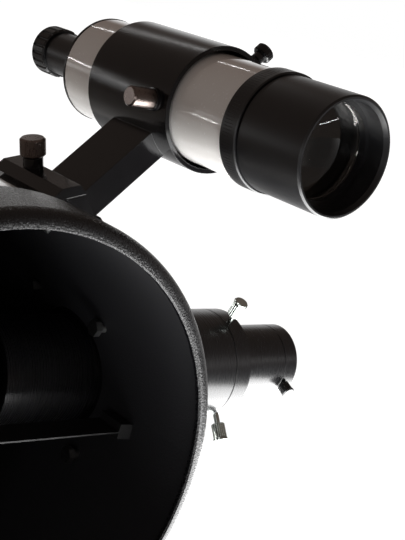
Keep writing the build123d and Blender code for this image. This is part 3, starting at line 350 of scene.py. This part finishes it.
# %% One plating recipe, five metals
def plated(name, darker, lighter, low_rough, high_rough, patch_mm):
    """A plated metal whose polish varies in patches of the given size."""
    finish, tree, place = start_finish(name)
    patches = add_node(tree, "TexNoise", {"Vector": place, "Scale": feature(patch_mm), "Detail": 4})
    colour = tint(tree, patches.outputs["Fac"], darker, lighter)
    rough = between(tree, patches.outputs["Fac"], low_rough, high_rough)
    bump = add_node(tree, "Bump", {"Height": patches.outputs["Fac"], "Strength": 0.08, "Distance": 0.0001})
    shader = add_node(tree, "BsdfPrincipled", {
        "Base Color": colour,
        "Metallic": 1.0,
        "Roughness": rough,
        "Normal": bump.outputs["Normal"],
    })
    finish_with(tree, shader)
    return finish


wear_finish(
    plated("polished_chrome_plate", "B4BBB6", "D2D8D4", 0.06, 0.14, 4),
    "holder_screw_upper holder_screw_lower",
)
wear_finish(
    plated("brushed_dark_nickel", "665C58", "8A7F7A", 0.22, 0.36, 2),
    "shoe_lock_knob plunger_housing",
)
wear_finish(
    plated("zinc_plated_steel", "8E8F90", "B4B5B4", 0.25, 0.42, 1.5),
    "rear_ring_screws vane_screws secondary_screws clip_screws focuser_screws shoe_screws "
    "ring_hinge_pins plate_screws pinion_shaft plunger_pin",
)
wear_finish(
    plated("drawn_spring_steel", "77787A", "9C9D9E", 0.20, 0.32, 1),
    "collimation_springs plunger_spring",
)
wear_finish(
    plated("rolled_brass_strip", "B08D45", "D8B868", 0.18, 0.30, 3),
    "holder_clamp_band adapter_clamp_band",
)

# %% [markdown]
# ## Mirrors
# Both mirrors are ground glass with vacuum deposited aluminium on the front: a metal surface with
# almost no roughness, and a faint haze of dust that never quite comes off.

# %% Aluminised glass
mirror, tree, place = start_finish("vacuum_aluminised_mirror")
haze = add_node(tree, "TexNoise", {"Vector": place, "Scale": feature(25), "Detail": 5})
colour = tint(tree, haze.outputs["Fac"], "E2E6E8", "F3F5F6")
rough = between(tree, haze.outputs["Fac"], 0.01, 0.05)
shader = add_node(tree, "BsdfPrincipled", {"Base Color": colour, "Metallic": 1.0, "Roughness": rough})
finish_with(tree, shader)
wear_finish(mirror, "primary_mirror secondary_mirror")

# %% [markdown]
# ## Coated lenses
# The finder's objective and its eye lens are crown glass with an anti-reflection coating, which
# leaves a weak reflection tinted brown. Glass lets light through, so the transmission is full, and
# a slight haze of dust varies the polish.

# %% Coated glass
lens_glass, tree, place = start_finish("coated_crown_glass")
haze = add_node(tree, "TexNoise", {"Vector": place, "Scale": feature(8), "Detail": 3})
colour = tint(tree, haze.outputs["Fac"], "E9E4DF", "F4F0EC")
rough = between(tree, haze.outputs["Fac"], 0.0, 0.03)
shader = add_node(tree, "BsdfPrincipled", {
    "Base Color": colour,
    "Roughness": rough,
    "IOR": crown_glass_index,
    "Transmission Weight": 1.0,
})
finish_with(tree, shader)
wear_finish(lens_glass, "objective_lens eye_lens")

# %% [markdown]
# ## Rubber and moulded plastic
# The finder rests in a rubber ring, which is dull. The knobs are moulded ABS with a fine spark
# eroded texture from the mould, about 0.4 mm, drawn at 0.7 mm.

# %% Rubber and ABS
def moulded(name, darker, lighter, low_rough, high_rough, grain_mm):
    """A moulded polymer with a fine grain from its mould."""
    finish, tree, place = start_finish(name)
    grain = add_node(tree, "TexNoise", {"Vector": place, "Scale": feature(grain_mm), "Detail": 3})
    colour = tint(tree, grain.outputs["Fac"], darker, lighter)
    rough = between(tree, grain.outputs["Fac"], low_rough, high_rough)
    bump = add_node(tree, "Bump", {"Height": grain.outputs["Fac"], "Strength": 0.3, "Distance": 0.0002})
    shader = add_node(tree, "BsdfPrincipled", {
        "Base Color": colour,
        "Roughness": rough,
        "IOR": paint_index,
        "Normal": bump.outputs["Normal"],
    })
    finish_with(tree, shader)
    return finish


wear_finish(moulded("moulded_black_rubber", "0B0B0B", "181818", 0.45, 0.6, 1.0), "finder_o_ring")
wear_finish(
    moulded("moulded_black_abs", "0A0A0B", "161617", 0.28, 0.42, 0.7),
    "focus_knobs focus_lock_screw eyepiece_ring ring_knob_front ring_knob_rear mirror_clips "
    "collimation_knob_top collimation_knob_left collimation_knob_right",
)
undressed = sorted(set(nodes) - dressed)
print("pieces without a finish:", undressed)

# %% [markdown]
# ## The studio
# The set is a white table lit from below, in front of a white wall, in a dim warm room. The table
# glows, so it lights the underside of every tube; the wall gives the rim of light round each
# outline; the room gives the dark tops their warm grey.

# %% The lit table
floor_mesh = bpy.data.meshes.new("studio_floor")
floor_sides = 96
floor_radius = 8.0
corners = [
    (
        floor_radius * math.cos(math.tau * side / floor_sides),
        floor_radius * math.sin(math.tau * side / floor_sides),
        0.0,
    )
    for side in range(floor_sides)
]
floor_mesh.from_pydata(corners, [], [tuple(range(floor_sides))])
floor = bpy.data.objects.new("studio_floor", floor_mesh)
bpy.context.scene.collection.objects.link(floor)
table, tree, place = start_finish("lit_opal_table")
speckle = add_node(tree, "TexNoise", {"Vector": place, "Scale": feature(400), "Detail": 2})
toward_wall = Vector((looks_along.x, looks_along.y, 0)).normalized()
depth = add_node(tree, "VectorMath", {0: place, 1: toward_wall}, operation="DOT_PRODUCT").outputs["Value"]
glow = add_node(tree, "MapRange", {
    "Value": depth,
    "From Min": -0.35,
    "From Max": 0.8,
    "To Min": 0.07,
    "To Max": 0.9,
}, interpolation_type="SMOOTHSTEP").outputs["Result"]
seen = add_node(tree, "LightPath").outputs["Is Camera Ray"]
brightness = add_node(tree, "Mix", {0: seen, 2: glow, 3: 1.0}, data_type="FLOAT").outputs[0]
shader = add_node(tree, "BsdfPrincipled", {
    "Base Color": tint(tree, speckle.outputs["Fac"], "5A5856", "605E5C"),
    "Roughness": 0.6,
    "Emission Color": linear("FFFFFF"),
    "Emission Strength": brightness,
})
finish_with(tree, shader)
floor_mesh.materials.append(table)

# %% [markdown]
# ## The room around the table
# The world's colour depends on the direction: white where the wall stands behind the telescope,
# and dim and warm above and in front of it. The backdrop itself is white from every side.

# %% The room
world = bpy.data.worlds.new("studio_room")
bpy.context.scene.world = world
world.use_nodes = True
tree = world.node_tree
tree.nodes.clear()
direction = add_node(tree, "TexCoord").outputs["Generated"]
facing_wall = add_node(tree, "VectorMath", {0: direction, 1: toward_wall}, operation="DOT_PRODUCT")
wall_light = add_node(tree, "MapRange", {
    "Value": facing_wall.outputs["Value"],
    "From Min": 0.86,
    "From Max": 1.0,
}, interpolation_type="SMOOTHSTEP")
room_colour = tint(tree, wall_light.outputs["Result"], "6A5F59", "FFFFFF")
seen = add_node(tree, "LightPath").outputs["Is Camera Ray"]
backdrop = add_node(tree, "Mix", data_type="RGBA")
tree.links.new(seen, backdrop.inputs[0])
tree.links.new(room_colour, backdrop.inputs[6])
backdrop.inputs[7].default_value = linear("FFFFFF")
background = add_node(tree, "Background", {"Color": backdrop.outputs[2], "Strength": 1.0})
add_node(tree, "OutputWorld", {"Surface": background.outputs[0]})

# %% [markdown]
# ## Lamps
# All lamps stand outside the picture. A broad one lies on the table below the finder and lights the
# undersides. A weak one low on the left reaches into the mouth of the tube. Two thin tubes behind
# the telescope draw lines along the enamel, and a bar on a stem is mirrored in the finder's lens.
# The lamps are hidden from the camera, and only their light and their reflections are seen.

# %% Lamps
def lamp(name, start, end, breadth, aim, watts):
    """A straight lamp from start to end that shines toward an aim and is hidden from the camera."""
    first, last, target = Vector(start), Vector(end), Vector(aim)
    middle = (first + last) / 2
    along = (last - first).normalized()
    away = (middle - target).normalized()
    sideways = away.cross(along).normalized()
    away = along.cross(sideways)
    light = bpy.data.lights.new(name, "AREA")
    light.shape = "RECTANGLE"
    light.size = (last - first).length
    light.size_y = breadth
    light.energy = watts
    stand = bpy.data.objects.new(name, light)
    bpy.context.scene.collection.objects.link(stand)
    turn = Matrix((along, sideways, away)).transposed().to_4x4()
    stand.matrix_world = Matrix.Translation(middle) @ turn
    stand.visible_camera = False
    print(name, f"{light.size:.2f} m long")


finder_middle = (finder_x, -0.45, finder_z)
lamp("table_panel", (0.24, -0.90, 0.012), (0.24, -0.32, 0.012), 0.38, (0.24, -0.60, 1.0), 7.5)
lamp("low_left_panel", (-0.85, -1.00, 0.18), (-0.65, -1.20, 0.18), 0.15, (0.05, -0.50, 0.10), 0.7)
lamp("rear_top_tube", (0.24, 0.64, 1.00), (0.54, 0.40, 1.03), 0.005, finder_middle, 0.13)
lamp("rear_left_tube", (-0.54, 0.66, 0.40), (-0.66, 0.42, 0.08), 0.005, finder_middle, 0.20)
lamp("lens_bar", (0.89, -1.47, 0.37), (1.17, -1.18, 0.44), 0.008, finder_middle, 0.12)
lamp("lens_bar_stem", (1.10, -1.27, 0.44), (1.10, -1.27, 0.66), 0.006, finder_middle, 0.05)

scene = bpy.context.scene
scene.view_settings.view_transform = "Standard"
scene.view_settings.look = "None"
